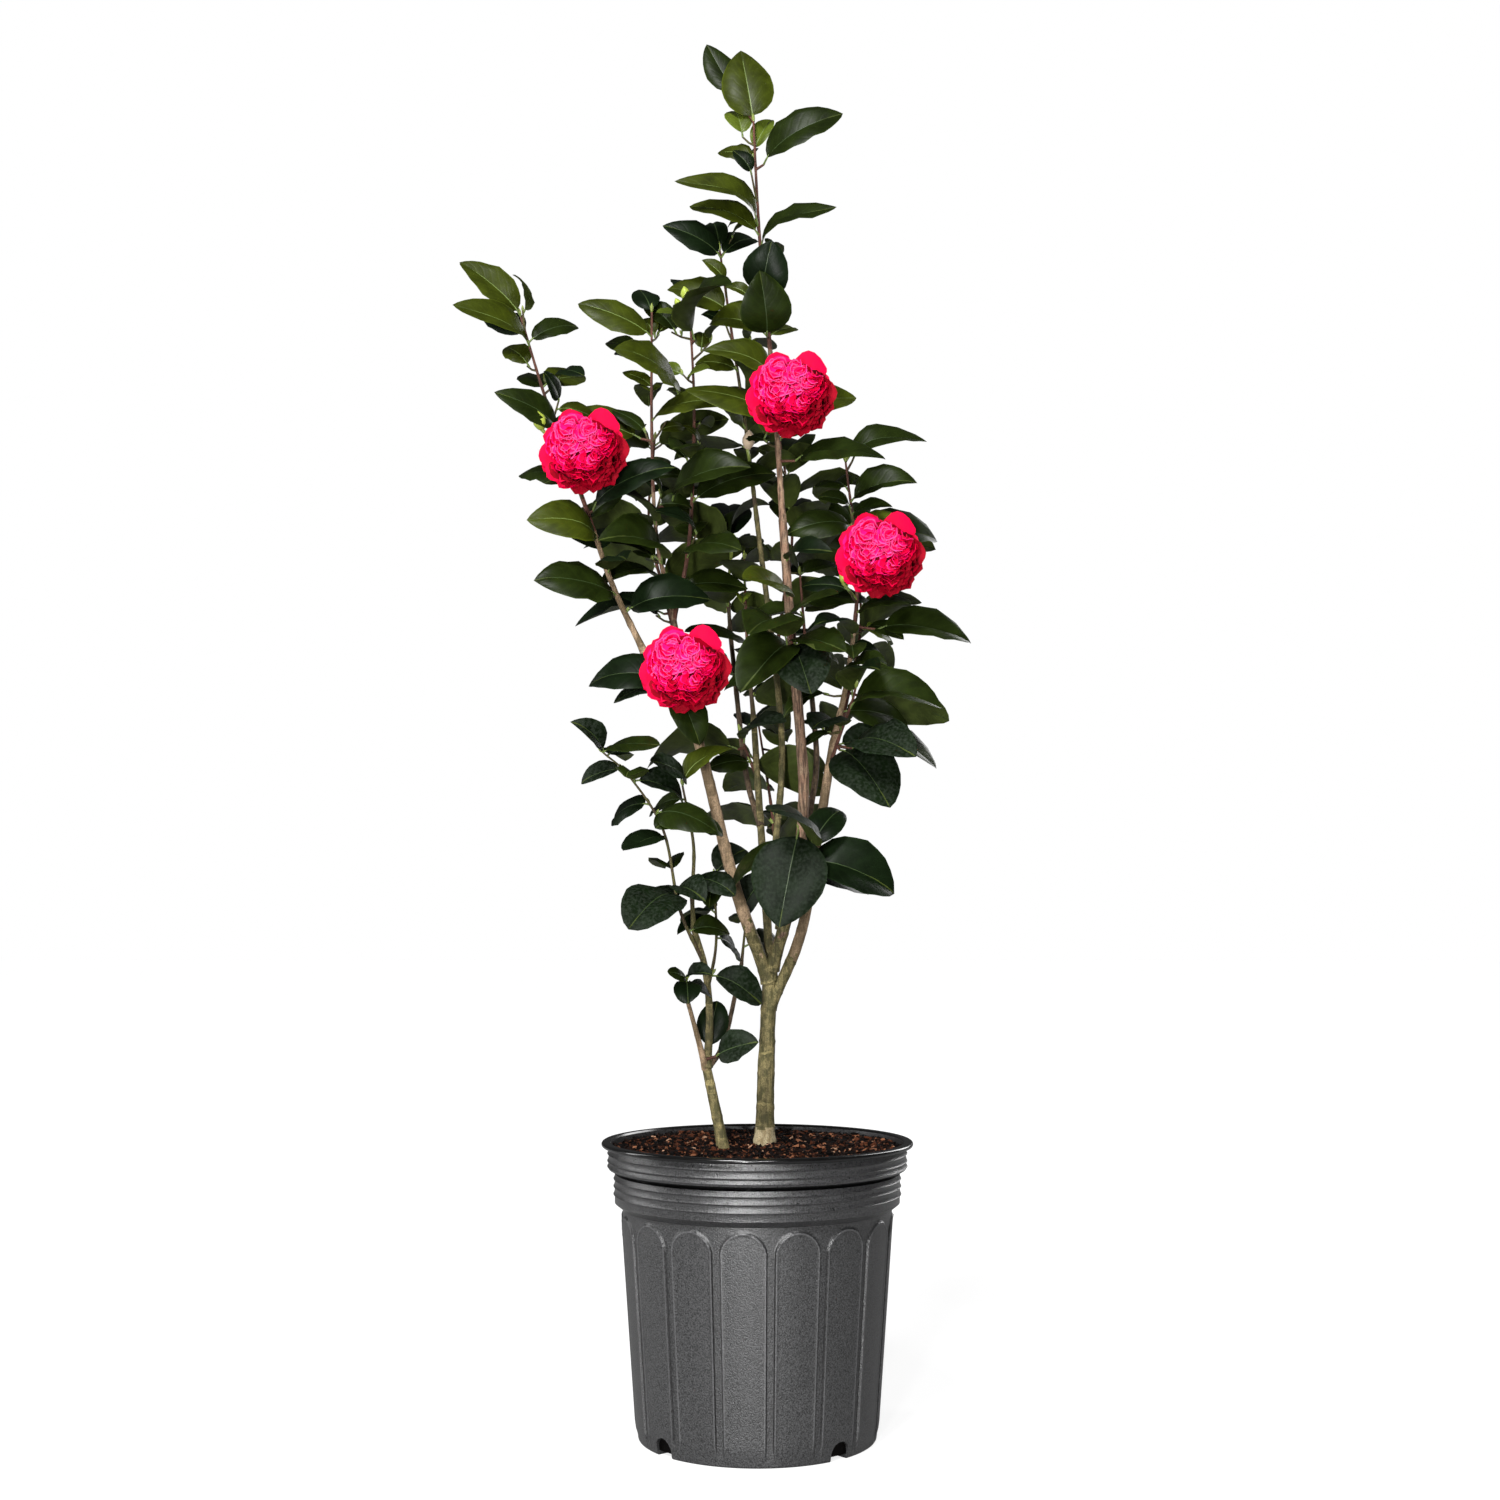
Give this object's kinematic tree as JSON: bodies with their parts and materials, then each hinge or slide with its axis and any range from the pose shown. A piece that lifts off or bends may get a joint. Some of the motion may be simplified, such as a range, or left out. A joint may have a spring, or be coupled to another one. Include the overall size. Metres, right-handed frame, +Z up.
{
  "type": "potted camellia shrub",
  "caption": "Young upright camellia shrub with crimson peony-form blooms, growing from two slim stems in a round ribbed nursery pot filled with bark.",
  "frame": {"origin": "centre of the pot's flat underside", "axes": "+Z up along the stems, +X to the right as seen from the front, where the blooms face, and the front looks along -Y"},
  "size_m": [0.4334, 0.3139, 1.184],
  "materials": {
    "pot": "satin, finely stippled",
    "potting_bark": "coarse bark chips",
    "bark": "olive tan bark with paler rings",
    "foliage": "glossy leather-like leaves"
  },
  "bodies": {
    "root": {"pot": "pot", "soil": "potting_bark", "main_stem": "bark", "second_stem": "bark", "dead_snag": "bark", "second_upright": "bark", "second_side": "bark", "bough_right": "bark", "bough_left": "bark", "bough_leader": "bark", "bough_centre": "bark", "bough_inner_left": "bark", "bough_centre_side": "bark", "bough_back_centre": "bark", "bough_back_right": "bark", "foliage_top": "foliage", "foliage_back_high": "foliage", "foliage_left_high": "foliage", "foliage_inner_left": "foliage", "foliage_left": "foliage", "foliage_spur": "foliage", "foliage_right_high": "foliage", "foliage_right_low": "foliage", "foliage_right_back": "foliage", "foliage_front": "foliage", "foliage_low_front": "foliage", "foliage_centre": "foliage", "foliage_centre_low": "foliage", "foliage_bud": "foliage", "foliage_second": "foliage", "foliage_arch": "foliage", "foliage_second_back": "foliage", "foliage_snag": "foliage", "foliage_side": "foliage", "foliage_behind_left": "foliage", "foliage_behind_middle": "foliage", "foliage_behind_right": "foliage", "foliage_behind_low": "foliage"}
  },
  "joints": []
}
